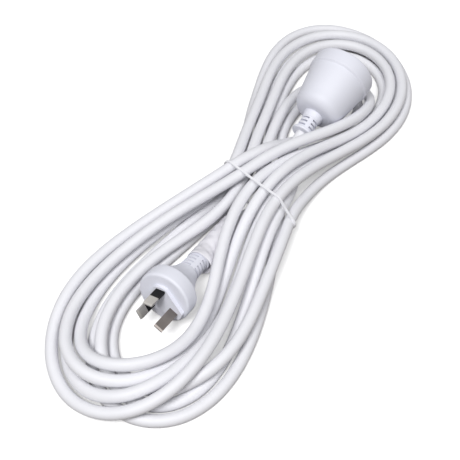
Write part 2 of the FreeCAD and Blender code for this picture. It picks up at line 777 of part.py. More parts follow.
def close_pairs(spots, cell, skip):
    grid = {}
    for i, q in enumerate(spots):
        grid.setdefault(tuple(int(v // cell) for v in q), []).append(i)
    pairs = []
    for key, here in grid.items():
        near = []
        for cube in range(27):
            near += grid.get((key[0] + cube % 3 - 1, key[1] + cube // 3 % 3 - 1, key[2] + cube // 9 - 1), [])
        pairs += [(i, j) for i in here for j in near if j > i + skip and math.dist(spots[i], spots[j]) < cell]
    return sorted(pairs)


def press(knots, pairs, hard, free, clear):
    # pushes touching strands apart once, by moving the knots that carry them
    spots = samples_of(knots)
    pushes = {}

    def push(i, way, size, share):
        p = pushes.setdefault(i, [0.0, 0.0, 0.0, 0.0])
        for k in range(3):
            p[k] += way[k] * share * size
        p[3] += size

    for i, j in pairs:
        gap = clear - math.dist(spots[i], spots[j])
        if gap > 0:
            way = [p - q for p, q in zip(spots[i], spots[j])]
            share = 0.5 * gap / max(clear - gap, 1e-6)
            push(i, way, gap, share)
            push(j, way, gap, -share)
    for i, f in hard:
        far = math.dist(spots[i], f[:3])
        if far < f[3]:
            push(i, [p - q for p, q in zip(spots[i], f)], f[3] - far, (f[3] - far) / max(far, 1e-6))
    for i, q in enumerate(spots):
        under = floor_under(q) - q[2]
        if under > 0:
            push(i, (0.0, 0.0, 1.0), under, under)
    moves = [[0.0, 0.0, 0.0, 0.0] for q in knots]
    for i in sorted(pushes):
        p = pushes[i]
        for o in range(3):
            weight = weights[i % cuts][o]
            m = moves[i // cuts + o]
            for k in range(3):
                m[k] += weight * p[k] / p[3]
            m[3] += weight
    for q, m, loose in zip(knots, moves, free):
        if loose and m[3] > 0:
            for k in range(3):
                q[k] += m[k] * 1.5 / max(m[3], 0.8)
            q[2] = max(q[2], floor_under(q))


def settle(knots, rows, rounds):
    # the strand keeps its length, its bend and its lanes, falls, and no part of it enters another
    clear = SIZES["strand_clearance"]
    count = len(knots)
    home = [q[:2] for q in knots]
    rest = [math.dist(a, b) for a, b in zip(knots, knots[1:])]
    skip = int(3 * clear / (SIZES["knot_step"] / cuts))
    loose = range(3, count - 3)
    free = [i in loose for i in range(count)]
    for turn in range(rounds):
        pull = 1.0 if turn <= rounds * 0.8 else 0.25 if turn <= rounds * 0.93 else 0.0
        bend = {1.0: 0.5, 0.25: 0.2, 0.0: 0.1}[pull]
        if turn % 6 == 0:
            spots = samples_of(knots)
            pairs = close_pairs(spots, clear + 3.5, skip)
            inner = range(3 * cuts, len(spots) - 3 * cuts)
            hard = [(i, f) for i in inner for f in rows if math.dist(spots[i], f[:3]) < f[3] + 4.5]
        for i in loose:
            q = knots[i]
            q[2] -= 0.16 * pull
            for k in range(2):
                q[k] += (home[i][k] - q[k]) * 0.06 * pull
            over = over_tie(q)
            over -= max(-SIZES["tie_half_span"], min(SIZES["tie_half_span"], over))
            if abs(past_tie(q)) < 11.5:
                q[0] -= tie[0] * over / 2
                q[1] -= tie[1] * over / 2
        old = [q[:] for q in knots]
        for i in loose:
            for k in range(3):
                smooth = (4 * (old[i - 1][k] + old[i + 1][k]) - old[i - 2][k] - old[i + 2][k]) / 6
                knots[i][k] += bend * (smooth - knots[i][k])
        for i in range(count - 1):
            a = knots[i]
            b = knots[i + 1]
            long = math.dist(a, b)
            share = 0.5 * (long - rest[i]) / long
            for k in range(3):
                step = (b[k] - a[k]) * share
                a[k] += step * free[i]
                b[k] -= step * free[i + 1]
        for again in range(3 if pull == 1.0 else 10):
            press(knots, pairs, hard, free, clear)
    return knots


def hank_knots():
    # the outer two knots at each end lie in line with the tail that the strand meets
    step = SIZES["knot_step"]
    inner = even_points(hank_stations(), step)[1:-1]
    first = [shifted(hank_start, start_aim, -step / 2), shifted(hank_start, start_aim, step / 2)]
    last = [shifted(hank_end, end_aim, -step / 2), shifted(hank_end, end_aim, step / 2)]
    return settle(first + inner + last, near_rows(), 320)


knots = hank_knots()
steps_per_knot = 8
line = []
for a, b, c in zip(knots, knots[1:], knots[2:]):
    for j in range(steps_per_knot):
        u = j / steps_per_knot
        line.append(Vector(*[0.5 * (1 - u) ** 2 * p + (0.5 + u * (1 - u)) * q + 0.5 * u * u * r
                             for p, q, r in zip(a, b, c)]))
line.append(Vector(*mix(knots[-2], knots[-1], 0.5)))
hank_start = Vector(*hank_start)
hank_end = Vector(*hank_end)
start_aim = Vector(*start_aim)
end_aim = Vector(*end_aim)
plug_tail_points = [Vector(*p) for p in plug_tail]
socket_tail_points = [Vector(*p) for p in socket_tail]


def least_gap(line):
    skip = int(3 * CORD / line[0].distanceToPoint(line[1]))
    pairs = close_pairs([list(p) for p in line], 1.6 * CORD, skip)
    return min((line[i].distanceToPoint(line[j]), i, j) for i, j in pairs)


nearest, one, other = least_gap(line)
print("hank knots", len(knots), "least gap of the cord to itself", round(nearest - CORD, 2), "mm at",
      [round(v) for v in line[one]])


# The solid cord: two arcs from each station to the next, and a many sided section along them

def arc_edge(start, tangent, end):
    chord = end - start
    turn = tangent.getAngle(chord)
    if turn < 1e-4:
        return Part.LineSegment(start, end).toShape()
    outward = (tangent - chord * (tangent.dot(chord) / chord.dot(chord))).normalize()
    middle = (start + end) * 0.5 + outward * (chord.Length / 2 * math.tan(turn / 2))
    return Part.Arc(start, middle, end).toShape()


def biarcs(a, b, ta, tb):
    chord = b - a
    both = ta + tb
    bend = 2 * (1 - ta.dot(tb))
    reach = chord.dot(chord) / (4 * chord.dot(tb))
    if bend > 1e-9:
        reach = (-chord.dot(both) + math.sqrt(chord.dot(both) ** 2 + bend * chord.dot(chord))) / bend
    first = a + ta * reach
    second = b - tb * reach
    joint = (first + second) * 0.5
    return [arc_edge(a, ta, joint), arc_edge(joint, (second - first).normalize(), b)]


stations = list(range(8, len(line) - 12, 16)) + [len(line) - 9]
stations = [0] + stations + [len(line) - 1]
tangents = []
for i in stations:
    tangents.append((line[min(i + 2, len(line) - 1)] - line[max(i - 2, 0)]).normalize())
tangents[0] = start_aim
tangents[-1] = end_aim
hank_edges = []
for k in range(len(stations) - 1):
    hank_edges += biarcs(line[stations[k]], line[stations[k + 1]], tangents[k], tangents[k + 1])
hank_wire = Part.Wire(hank_edges)
hank_tube = tube(hank_wire, CORD / 2)
flat = Part.makeBox(500, 400, 20, Vector(-250, -200, -20))
keep(feature("cord_hank", hank_tube.cut(flat).Solids[0]), "cord_hank")
print("hank length", round(hank_wire.Length), "volume by section",
      share_of_section(hank_tube, hank_wire, CORD / 2))

for name, points in (("plug_tail", plug_tail_points), ("socket_tail", socket_tail_points)):
    wire = rounded_path(points, name)
    piece = tube(wire, CORD / 2)
    print(name, "length", round(wire.Length, 1), "volume by section", share_of_section(piece, wire, CORD / 2))
    keep(feature(name, piece), name)


# Label sleeve: a flattened tube of film round the straight of the plug's tail

label_ahead = plug_tail_points[2] - plug_tail_points[1]
label_length = label_ahead.Length
label_ahead.normalize()
label_side = Vector(0, 0, 1).cross(label_ahead).normalize()
label_top = label_ahead.cross(label_side)


def oval_bar(width, height):
    """an eight sided bar of the label's length"""
    corners = []
    for u, v in ((1.0, 0.3), (0.62, 1.0), (-0.62, 1.0), (-1.0, 0.3),
                 (-1.0, -0.3), (-0.62, -1.0), (0.62, -1.0), (1.0, -0.3), (1.0, 0.3)):
        corners.append(plug_tail_points[1] + label_side * (u * width / 2) + label_top * (v * height / 2))
    return Part.Face(Part.makePolygon(corners)).extrude(label_ahead * label_length)


film = 2 * SIZES["label_wall"]
label_blank = oval_bar(SIZES["label_width"], SIZES["label_height"])
label_bore = oval_bar(SIZES["label_width"] - film, SIZES["label_height"] - film)
keep(feature("label_sleeve", label_blank.cut(label_bore)), "label_sleeve")


# Tie: a flat band drawn round every strand of the waist

def hull(points):
    points = sorted(set(points))
    halves = []
    for run in (points, points[::-1]):
        half = []
        for p in run:
            while len(half) > 1 and ((half[-1][0] - half[-2][0]) * (p[1] - half[-2][1])
                                     - (half[-1][1] - half[-2][1]) * (p[0] - half[-2][0])) <= 0:
                half.pop()
            half.append(p)
        halves += half[:-1]
    return halves


crossing = []
for p in line:
    if abs(past_tie(p)) < SIZES["tie_width"]:
        crossing.append((round(over_tie(p), 3), round(p.z, 3)))
tie_corners = [Vector(waist[0] + tie[0] * u, waist[1] + tie[1] * u, z) for u, z in hull(crossing)]
tie_loop = Part.makePolygon(tie_corners + [tie_corners[0]])
inner_loop = tie_loop.makeOffset2D(CORD / 2 + SIZES["tie_gap"])
outer_loop = tie_loop.makeOffset2D(CORD / 2 + SIZES["tie_gap"] + SIZES["tie_thickness"])
tie_face = Part.Face(outer_loop).cut(Part.Face(inner_loop))
normal = Vector(tie[1], -tie[0], 0)
tie_shape = tie_face.extrude(normal * SIZES["tie_width"])
tie_shape.translate(normal * (-SIZES["tie_width"] / 2))
keep(feature("waist_tie", tie_shape.Solids[0]), "waist_tie")


# The whole stands over the middle of its own base

middle = Vector((min(p.x for p in line) + max(p.x for p in line)) / 2,
                (min(p.y for p in line) + max(p.y for p in line)) / 2, 0)
for item in subparts:
    item.Placement = Placement(-middle, Rotation()).multiply(item.Placement)
doc.recompute()
print("middle moved by", [round(v, 2) for v in middle])

for item in doc.Objects:
    if "Invalid" in item.State or "Error" in item.State:
        raise ValueError(item.Label + " is not in order")
os.makedirs("parts", exist_ok=True)
for item in subparts:
    shape = item.Shape
    if shape.isNull() or not shape.isValid() or len(shape.Solids) != 1:
        raise ValueError(item.Label + " is not one valid solid")
    shape.exportStep("parts/" + item.Label + ".step")
print(len(subparts), "pieces written")
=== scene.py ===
import math

import bmesh
import bpy
from mathutils import Matrix, Vector


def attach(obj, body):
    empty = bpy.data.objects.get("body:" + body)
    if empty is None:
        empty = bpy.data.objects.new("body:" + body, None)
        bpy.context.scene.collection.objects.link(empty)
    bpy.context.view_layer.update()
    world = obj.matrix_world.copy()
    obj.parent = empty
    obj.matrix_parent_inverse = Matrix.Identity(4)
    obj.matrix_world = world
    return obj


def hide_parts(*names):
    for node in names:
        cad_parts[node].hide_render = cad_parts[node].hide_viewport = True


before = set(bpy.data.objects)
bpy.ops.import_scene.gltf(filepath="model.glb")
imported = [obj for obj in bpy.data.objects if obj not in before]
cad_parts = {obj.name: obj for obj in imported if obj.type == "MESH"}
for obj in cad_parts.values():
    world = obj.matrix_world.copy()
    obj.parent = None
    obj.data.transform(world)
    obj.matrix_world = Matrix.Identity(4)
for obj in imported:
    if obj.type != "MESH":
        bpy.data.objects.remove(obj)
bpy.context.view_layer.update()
mm = 0.001
body = "root"

# Camera: the photograph looks down at the hank from the plug's end, a little to its right

cameraFacts = {
    "lens": 61.7,             # on a 36 mm sensor
    "height": 430.0,          # over the floor, mm
    "behind": 336.0,          # how far back from the point it looks at, mm
    "looksAt": (-38.0, 5.5),  # that point on the floor, mm
    "heading": 19.9,          # degrees from the hank's long axis
}

heading = math.radians(cameraFacts["heading"])
target = Vector((cameraFacts["looksAt"][0], cameraFacts["looksAt"][1], 0.0)) * mm
back = Vector((math.cos(heading), math.sin(heading), 0.0)) * cameraFacts["behind"] * mm
cameraData = bpy.data.cameras.new("photoCamera")
cameraData.lens = cameraFacts["lens"]
cameraData.sensor_width = 36.0
cameraData.clip_start = 0.01
photoCamera = bpy.data.objects.new("photoCamera", cameraData)
photoCamera.location = target - back + Vector((0.0, 0.0, cameraFacts["height"] * mm))
photoCamera.rotation_euler = (target - photoCamera.location).to_track_quat("-Z", "Y").to_euler()
bpy.context.scene.collection.objects.link(photoCamera)
bpy.context.scene.camera = photoCamera
print("camera stands")

# Cord: the hank and the two ends, in the model's own millimetres and degrees

hank = {
    "cord": 8.0,        # across the sheath
    "flat": 0.8,        # how deep it presses on the floor
    "clearance": 9.3,   # least distance between two strands' middles
    "knotStep": 23.0,   # along the strand, between the knots that pull it
    "room": 0.6,        # between the cord and the pieces that it passes
    "tieLift": 2.6,     # how much higher the waist lies
    "liftReach": 32.0,  # how far from the tie that rise begins
    "halfSpan": 26.4,   # half the waist's width under the tie
    "holdReach": 11.5,  # how near the tie a knot is held to that width
    "lookout": 3.5,     # how much further than touching two strands are watched
    "pieceLookout": 4.5,  # the same for a strand and a piece
    "rounds": 320,      # of settling
    "fall": 0.16,       # how far a knot drops in a round
    "homing": 0.06,     # what share of the way back to its place it goes in a round
}
ends = {
    "plugHeading": 169.5, "plugPitch": 13.0, "plugRoll": 66.0,          # degrees
    "plugX": -112.0, "plugY": 27.0, "floorClearance": 0.3,              # its face, and the rim's gap below
    "plugRadius": 18.2, "plugRim": 9.5, "plugLength": 44.0,             # the rim, its depth, the whole plug
    "socketHeading": -13.8, "socketPitch": 14.0, "socketRoll": 35.0,    # degrees
    "socketX": 114.9, "socketY": -26.9, "socketZ": 35.0,                # its face
    "socketRadius": 24.0, "socketRing": 11.2,                           # its front ring
    "socketShoulder": 40.0, "socketShoulderRadius": 17.0,               # how far back, and how thick there
    "socketLength": 51.0, "socketNeckRadius": 8.4,
    "socketRelief": 13.0, "socketCollarRadius": 8.2,
    "labelWidth": 18.0, "labelHeight": 10.8,
    "plugStraight": 6.0, "socketStraight": 10.0,                        # of each tail, at both its ends
}

# Poses of the two ends. The cord leaves each moulding along its axis

def aim(heading, pitch):
    h = math.radians(heading)
    p = math.radians(pitch)
    return [math.cos(p) * math.cos(h), math.cos(p) * math.sin(h), math.sin(p)]


def unit(v):
    size = math.hypot(*v)
    return [c / size for c in v]


def shifted(point, way, far):
    return [p + w * far for p, w in zip(point, way)]


def mix(a, b, share):
    return [p + (q - p) * share for p, q in zip(a, b)]


plugAim = aim(ends["plugHeading"], ends["plugPitch"])
socketAim = aim(ends["socketHeading"], ends["socketPitch"])
plugRise = math.radians(ends["plugPitch"])
plugFace = [ends["plugX"], ends["plugY"], ends["plugRadius"] * math.cos(plugRise)
            + ends["plugRim"] * math.sin(plugRise) + ends["floorClearance"]]
socketFace = [ends["socketX"], ends["socketY"], ends["socketZ"]]
plugExit = shifted(plugFace, plugAim, -ends["plugLength"])
socketBack = ends["socketLength"] + ends["socketRelief"]
socketExit = shifted(socketFace, socketAim, -socketBack)
socketForm = [(0.0, ends["socketRadius"]), (ends["socketRing"], ends["socketRadius"]),
              (ends["socketShoulder"], ends["socketShoulderRadius"]),
              (ends["socketLength"], ends["socketNeckRadius"]),
              (socketBack, ends["socketCollarRadius"])]

# Where the hank meets the two tails, and which way the strand points there

hankStart = [-25.0, 7.0, 5.7]
hankEnd = [20.0, -4.5, 6.8]
startAim = unit([11.0, -6.0, -0.5])
endAim = unit([13.5, -2.5, 3.6])
plugTail = [plugExit, shifted(plugExit, plugAim, -ends["plugStraight"]),
            shifted(hankStart, startAim, -ends["plugStraight"]), hankStart]
socketTail = [hankEnd, shifted(hankEnd, endAim, ends["socketStraight"]),
              shifted(socketExit, socketAim, -ends["socketStraight"]), socketExit]

# Hank: one path through every lane of the waist, an upper and a lower loop by turns.
# A lane is how far along the tie a strand crosses it, and its height there

layer = 0.87 * hank["cord"]     # a strand lies in the groove between two others
floorZ = hank["cord"] / 2 - hank["flat"]
low = floorZ + 0.25             # just off the floor
middle = low + layer
high = middle + layer
tie = unit([0.40, 0.917, 0.0])
waist = [-9.0, 1.0]
lanes = {"x1": (23.5, low), "x2": (17.8, middle), "x3": (11.5, low), "x4": (5.2, middle),
         "x5": (-0.6, low), "P": (-9.8, low), "y2": (-16.7, middle), "y1": (-23.6, low),
         "L1": (24.7, high - 3), "L2": (16.7, high), "R5": (8.0, high), "R4": (-0.6, high),
         "R3": (-8.6, high), "R2": (-16.7, high), "R1": (-24.7, high - 4)}
upperLoops = [("x1", "R1"), ("x2", "R2"), ("x3", "R3"), ("x4", "R4"), ("x5", "R5"), ("P", "L2"),
              ("y2", "L1")]
outerLoops = [("L1", "R2"), ("x1", "R3"), ("L2", "R4"), ("x2", "R5")]
innerLoops = [("x3", "y1"), ("x4", "y2"), ("x5", "R1")]

# The loops before they settle. A pair is the first loop's value, and what each loop further in adds to it

upperFacts = {
    "leftStartX": 39.1, "leftStartY": (28.8, -4.95),    # from the waist to the left side
    "startDip": 2.0,                                    # how far the second layer sinks there
    "sideX": 75.9, "leftInset": 1.2,                    # where the left side begins
    "leftY": (33.0, -5.1), "rightY": (-76.8, 4.0),      # where its two sides run
    "centreX": 122.0, "halfX": (72.5, -6.4),            # middle and reach of its round end
    "outerLean": 31.0, "lean": (23.0, -2.3),            # how far the left corner leans outwards
    "outerLift": 13.8, "lift": 3.5,                     # and to the left
    "rightLean": 9.2,                                   # how far the right corner stays back
    "rightSideY": (-60.7, 4.0), "rightRise": 2.3,       # where the right side ends, and how much higher
    "rightEndX": 36.8, "rightEndY": (-33.8, 5.1), "rightEndZ": (11.5, 0.7),     # from there to the waist
    "firstUnder": 5,                                    # this loop and the next pass beneath the socket
    "underBack": (16.2, 9.2), "underHalfX": (31.0, -2.2),   # how far back they lie, and their reach
}
lowerFacts = {
    "sideX": -63.3,                                     # where its two sides begin
    "leftRise": 1.0, "rightRise": 1.0,                  # how much higher the upper lanes lie there
    "centreX": -124.2,                                  # middle of its round end
    "outerHalfX": (69.2, -8.4), "innerHalfX": (61.5, -8.4),     # and its reach
    "outerSkew": 2.3,                                   # how far the outer loops' ends lie to the right
    "outerRise": 3.0, "climb": 2.2,                     # how high they cross, and how soon they get there
}

# Where each strand runs beside the lower hole, and nearer the waist
leftSide = {"L1": 88.0, "x1": 84.0, "L2": 80.0, "x2": 76.0, "x3": 62.7, "x4": 58.0, "x5": 53.8}
leftNear = {"L1": 70.0, "x1": 67.9, "L2": 58.7, "x2": 58.7, "x3": 47.2, "x4": 41.4, "x5": 35.7}
rightSide = {"y1": -28.2, "y2": -19.3, "R1": -23.7, "R2": -10.6, "R3": -6.2, "R4": -1.8, "R5": 2.8}
rightNear = {"y1": -28.2, "y2": -19.6, "R1": -23.7, "R2": -15.0, "R3": -7.5, "R4": 0.0, "R5": 8.0}


def stepped(pair, n):
    return pair[0] + pair[1] * n


def waistPoint(name):
    lane, z = lanes[name]
    return [waist[0] + tie[0] * lane, waist[1] + tie[1] * lane, z]


def pastTie(q):
    # how far a point lies from the tie, towards the socket
    return (q[0] - waist[0]) * tie[1] - (q[1] - waist[1]) * tie[0]


def overTie(q):
    # how far along the tie it lies
    return (q[0] - waist[0]) * tie[0] + (q[1] - waist[1]) * tie[1]


def upperLoop(n, leftName, rightName):
    # round the socket, loop 0 outermost
    facts = upperFacts
    deeper = n - facts["firstUnder"]
    underSocket = deeper >= 0
    z = low if n % 2 == 0 else middle
    left = stepped(facts["leftY"], n)
    right = stepped(facts["rightY"], n)
    centreX = facts["centreX"] - (stepped(facts["underBack"], deeper) if underSocket else 0.0)
    halfX = stepped(facts["underHalfX"], deeper) if underSocket else stepped(facts["halfX"], n)
    points = [waistPoint(leftName),
              [facts["leftStartX"], stepped(facts["leftStartY"], n),
               low if n % 2 == 0 else middle - facts["startDip"]],
              [facts["sideX"], left - facts["leftInset"], z]]
    for degrees in range(90, -91, -30):
        a = math.radians(degrees)
        across = math.sin(a)
        lean = 0.0
        lift = 0.0
        if degrees > 0 and not underSocket:
            lean = facts["outerLean"] if n == 0 else stepped(facts["lean"], n)
            lift = facts["outerLift"] if n == 0 else facts["lift"]
        elif not underSocket:
            lean = facts["rightLean"]
        points.append([centreX + halfX * math.cos(a) + lean * across * math.cos(a),
                       (left + right) / 2 + (left - right) / 2 * across + lift * math.sin(2 * a),
                       low + (z - low) * abs(across) if underSocket else z])
    points += [[facts["sideX"], stepped(facts["rightSideY"], n), z + facts["rightRise"]],
               [facts["rightEndX"], stepped(facts["rightEndY"], n), stepped(facts["rightEndZ"], n)],
               waistPoint(rightName)]
    return points


def lowerLoop(leftName, rightName):
    # round the plug: the outer loops cross over the inner ones at the far end
    facts = lowerFacts
    outer = (leftName, rightName) in outerLoops
    n = (outerLoops if outer else innerLoops).index((leftName, rightName))
    halfX = stepped(facts["outerHalfX"] if outer else facts["innerHalfX"], n)
    crown = middle + facts["outerRise"] if outer else low
    left = leftSide[leftName]
    right = rightSide[rightName]
    leftZ = middle if leftName in ("L1", "L2", "x4") else low
    rightZ = middle if rightName in ("R1", "R3", "R5") else low
    raised = facts["leftRise"] if leftName[0] == "L" else 0.0
    skew = facts["outerSkew"] if outer else 0.0
    points = [waistPoint(leftName), [facts["sideX"], leftNear[leftName], leftZ + raised]]
    for degrees in range(90, -91, -30):
        a = math.radians(degrees)
        share = min(1.0, facts["climb"] * (1.0 - abs(degrees) / 90.0))
        side = leftZ if degrees > 0 else rightZ
        points.append([facts["centreX"] - halfX * math.cos(a),
                       (left + right) / 2 + (left - right) / 2 * math.sin(a) - skew * math.cos(a),
                       side + (crown - side) * share])
    nearZ = middle + facts["rightRise"] if rightName[0] == "R" else rightZ
    points += [[facts["sideX"], rightNear[rightName], nearZ], waistPoint(rightName)]
    return points


def hankStations():
    # from the plug's end to the socket's: each loop is the one that the last strand's lane belongs to
    points = [hankStart]
    name = "P"
    upper = True
    while not (upper and name == "y1"):
        loops = upperLoops if upper else outerLoops + innerLoops
        pair = [p for p in loops if name in p][0]
        loop = upperLoop(loops.index(pair), *pair) if upper else lowerLoop(*pair)
        if name == pair[1]:
            loop.reverse()
        points += loop if points[-1] == hankStart else loop[1:]
        name = pair[0] if name == pair[1] else pair[1]
        upper = not upper
    return points + [hankEnd]


def evenPoints(stations, step):
    # points an even step apart on a smooth line through the stations
    ended = [mix(stations[1], stations[0], 2.0)] + stations + [mix(stations[-2], stations[-1], 2.0)]
    parts = 24
    fine = []
    for a, b, c, d in zip(ended, ended[1:], ended[2:], ended[3:]):
        t1 = math.dist(a, b) ** 0.5
        t2 = t1 + math.dist(b, c) ** 0.5
        t3 = t2 + math.dist(c, d) ** 0.5
        for j in range(parts):
            t = t1 + (t2 - t1) * j / parts
            ab = mix(a, b, t / t1)
            bc = mix(b, c, (t - t1) / (t2 - t1))
            cd = mix(c, d, (t - t2) / (t3 - t2))
            fine.append(mix(mix(ab, bc, t / t2), mix(bc, cd, (t - t1) / (t3 - t1)), (t - t1) / (t2 - t1)))
    fine.append(list(stations[-1]))
    total = sum(math.dist(a, b) for a, b in zip(fine, fine[1:]))
    count = round(total / step)
    even = [fine[0]]
    walked = 0.0
    for a, b in zip(fine, fine[1:]):
        long = math.dist(a, b)
        while len(even) < count and walked + long >= len(even) * total / count:
            even.append(mix(a, b, (len(even) * total / count - walked) / long))
        walked += long
    return even + [fine[-1]]


def nearRows():
    # what the strands keep clear of: points along each solid piece, each with its reach
    rows = []
    side = unit([-startAim[1], startAim[0], 0.0])
    steps = 30
    for k in range(steps + 1):
        spot = mix(plugTail[1], hankStart, k / steps)
        for across in (-1, 0, 1):
            rows.append(shifted(spot, side, across * (ends["labelWidth"] - ends["labelHeight"]) / 2)
                        + [ends["labelHeight"] / 2 + hank["cord"] / 2 + hank["room"]])
        rows.append(mix(hankEnd, socketExit, k / steps) + [hank["cord"] + hank["room"]])
        back = socketBack * k / steps
        for (near, wide), (far, narrow) in zip(socketForm, socketForm[1:]):
            if near <= back <= far:
                wide += (narrow - wide) * (back - near) / (far - near)
                rows.append(shifted(socketFace, socketAim, -back)
                            + [wide + hank["cord"] / 2 + hank["room"]])
    return rows


# Settling: the strand is a line that knots pull, four samples to a knot

def spanWeights(u):
    # how much each of three knots pulls the strand, u of the way along their span
    return 0.5 * (1 - u) ** 2, 0.5 + u * (1 - u), 0.5 * u * u


cuts = 4
pullWeights = [spanWeights((j + 0.5) / cuts) for j in range(cuts)]


def floorUnder(q):
    # the waist lies higher, because the tie goes under it
    away = pastTie(q) / hank["liftReach"]
    return floorZ + hank["tieLift"] * max(0.0, 1.0 - away * away)


def samplesOf(knots, weights):
    spots = []
    for a, b, c in zip(knots, knots[1:], knots[2:]):
        for u, v, w in weights:
            spots.append([u * p + v * q + w * r for p, q, r in zip(a, b, c)])
    return spots


def closePairs(spots, cell, skip):
    grid = {}
    for i, q in enumerate(spots):
        grid.setdefault(tuple(int(v // cell) for v in q), []).append(i)
    pairs = []
    for key, here in grid.items():
        near = []
        for cube in range(27):
            beside = (key[0] + cube % 3 - 1, key[1] + cube // 3 % 3 - 1, key[2] + cube // 9 - 1)
            near += grid.get(beside, [])
        pairs += [(i, j) for i in here for j in near
                  if j > i + skip and math.dist(spots[i], spots[j]) < cell]
    return sorted(pairs)


def press(knots, pairs, hard, free, clear):
    # pushes touching strands apart once, by moving the knots that carry them
    spots = samplesOf(knots, pullWeights)
    pushes = {}

    def push(i, way, size, share):
        p = pushes.setdefault(i, [0.0, 0.0, 0.0, 0.0])
        for k in range(3):
            p[k] += way[k] * share * size
        p[3] += size

    for i, j in pairs:
        gap = clear - math.dist(spots[i], spots[j])
        if gap > 0:
            way = [p - q for p, q in zip(spots[i], spots[j])]
            share = 0.5 * gap / max(clear - gap, 1e-6)
            push(i, way, gap, share)
            push(j, way, gap, -share)
    for i, f in hard:
        far = math.dist(spots[i], f[:3])
        if far < f[3]:
            push(i, [p - q for p, q in zip(spots[i], f)], f[3] - far, (f[3] - far) / max(far, 1e-6))
    for i, q in enumerate(spots):
        under = floorUnder(q) - q[2]
        if under > 0:
            push(i, (0.0, 0.0, 1.0), under, under)
    moves = [[0.0, 0.0, 0.0, 0.0] for q in knots]
    for i in sorted(pushes):
        p = pushes[i]
        for o in range(3):
            weight = pullWeights[i % cuts][o]
            m = moves[i // cuts + o]
            for k in range(3):
                m[k] += weight * p[k] / p[3]
            m[3] += weight
    for q, m, loose in zip(knots, moves, free):
        if loose and m[3] > 0:
            # half as far again as they ask on average, so that it settles sooner
            for k in range(3):
                q[k] += m[k] * 1.5 / max(m[3], 0.8)
            q[2] = max(q[2], floorUnder(q))


def settle(knots, rows, rounds):
    # the strand keeps its length, its bend and its lanes, falls, and no part of it enters another
    clear = hank["clearance"]
    count = len(knots)
    home = [q[:2] for q in knots]
    rest = [math.dist(a, b) for a, b in zip(knots, knots[1:])]
    skip = int(3 * clear / (hank["knotStep"] / cuts))
    loose = range(3, count - 3)
    free = [i in loose for i in range(count)]
    for turn in range(rounds):
        # weight and homing pull fully, then weakly, and in the last rounds not at all
        pull = 1.0 if turn <= rounds * 0.8 else 0.25 if turn <= rounds * 0.93 else 0.0
        bend = {1.0: 0.5, 0.25: 0.2, 0.0: 0.1}[pull]
        if turn % 6 == 0:
            spots = samplesOf(knots, pullWeights)
            pairs = closePairs(spots, clear + hank["lookout"], skip)
            inner = range(3 * cuts, len(spots) - 3 * cuts)
            hard = [(i, f) for i in inner for f in rows
                    if math.dist(spots[i], f[:3]) < f[3] + hank["pieceLookout"]]
        for i in loose:
            q = knots[i]
            q[2] -= hank["fall"] * pull
            for k in range(2):
                q[k] += (home[i][k] - q[k]) * hank["homing"] * pull
            over = overTie(q)
            over -= max(-hank["halfSpan"], min(hank["halfSpan"], over))
            if abs(pastTie(q)) < hank["holdReach"]:
                q[0] -= tie[0] * over / 2
                q[1] -= tie[1] * over / 2
        old = [q[:] for q in knots]
        for i in loose:
            for k in range(3):
                smooth = (4 * (old[i - 1][k] + old[i + 1][k]) - old[i - 2][k] - old[i + 2][k]) / 6
                knots[i][k] += bend * (smooth - knots[i][k])
        for i in range(count - 1):
            a = knots[i]
            b = knots[i + 1]
            long = math.dist(a, b)
            share = 0.5 * (long - rest[i]) / long
            for k in range(3):
                step = (b[k] - a[k]) * share
                a[k] += step * free[i]
                b[k] -= step * free[i + 1]
        for again in range(3 if pull == 1.0 else 10):
            press(knots, pairs, hard, free, clear)
    return knots


def hankKnots():
    # the outer two knots at each end lie in line with the tail that the strand meets
    step = hank["knotStep"]
    inner = evenPoints(hankStations(), step)[1:-1]
    first = [shifted(hankStart, startAim, -step / 2), shifted(hankStart, startAim, step / 2)]
    last = [shifted(hankEnd, endAim, -step / 2), shifted(hankEnd, endAim, step / 2)]
    return settle(first + inner + last, nearRows(), hank["rounds"])


knots = hankKnots()
strand = samplesOf(knots, [spanWeights(j / 8) for j in range(8)]) + [mix(knots[-2], knots[-1], 0.5)]
hankCentre = [(min(q[k] for q in strand) + max(q[k] for q in strand)) / 2 for k in range(2)] + [0.0]


def placed(point):
    # in metres, about the hank's middle, as the frame has it
    return Vector([(p - m) * mm for p, m in zip(point, hankCentre)])


def addCord(name, points, radius):
    curve = bpy.data.curves.new(name, "CURVE")
    curve.dimensions = "3D"
    spline = curve.splines.new("NURBS")
    spline.points.add(len(points) - 1)
    for knot, point in zip(spline.points, points):
        knot.co = (*placed(point), 1.0)
    spline.order_u = 3
    spline.use_endpoint_u = True
    curve.resolution_u = 10
    curve.bevel_depth = radius * mm
    curve.bevel_resolution = 6
    curve.use_fill_caps = True
    piece = bpy.data.objects.new(name, curve)
    bpy.context.scene.collection.objects.link(piece)
    return piece


flexRoute = plugTail[:2] + knots + socketTail[2:]
flexCord = addCord("flexCord", flexRoute, hank["cord"] / 2)


# Materials

def linear(hexColour):
    channels = [int(hexColour[i:i + 2], 16) / 255 for i in (1, 3, 5)]
    return tuple(c / 12.92 if c <= 0.04045 else ((c + 0.055) / 1.055) ** 2.4 for c in channels) + (1.0,)


def addNode(tree, kind, settings=None, **links):
    # a link named i and a number goes to that input, for nodes whose inputs share a name
    node = tree.nodes.new(kind)
    for key, value in (settings or {}).items():
        if key in node.inputs:
            node.inputs[key].default_value = value
        else:
            setattr(node, key, value)
    for key, source in links.items():
        numbered = key[0] == "i" and key[1:].isdigit()
        tree.links.new(source, node.inputs[int(key[1:]) if numbered else key.replace("_", " ")])
    return node


def plainMaterial(name, **settings):
    material = bpy.data.materials.new(name)
    material.use_nodes = True
    shader = material.node_tree.nodes["Principled BSDF"]
    for key, value in settings.items():
        shader.inputs[key.replace("_", " ")].default_value = value
    return material, material.node_tree, shader


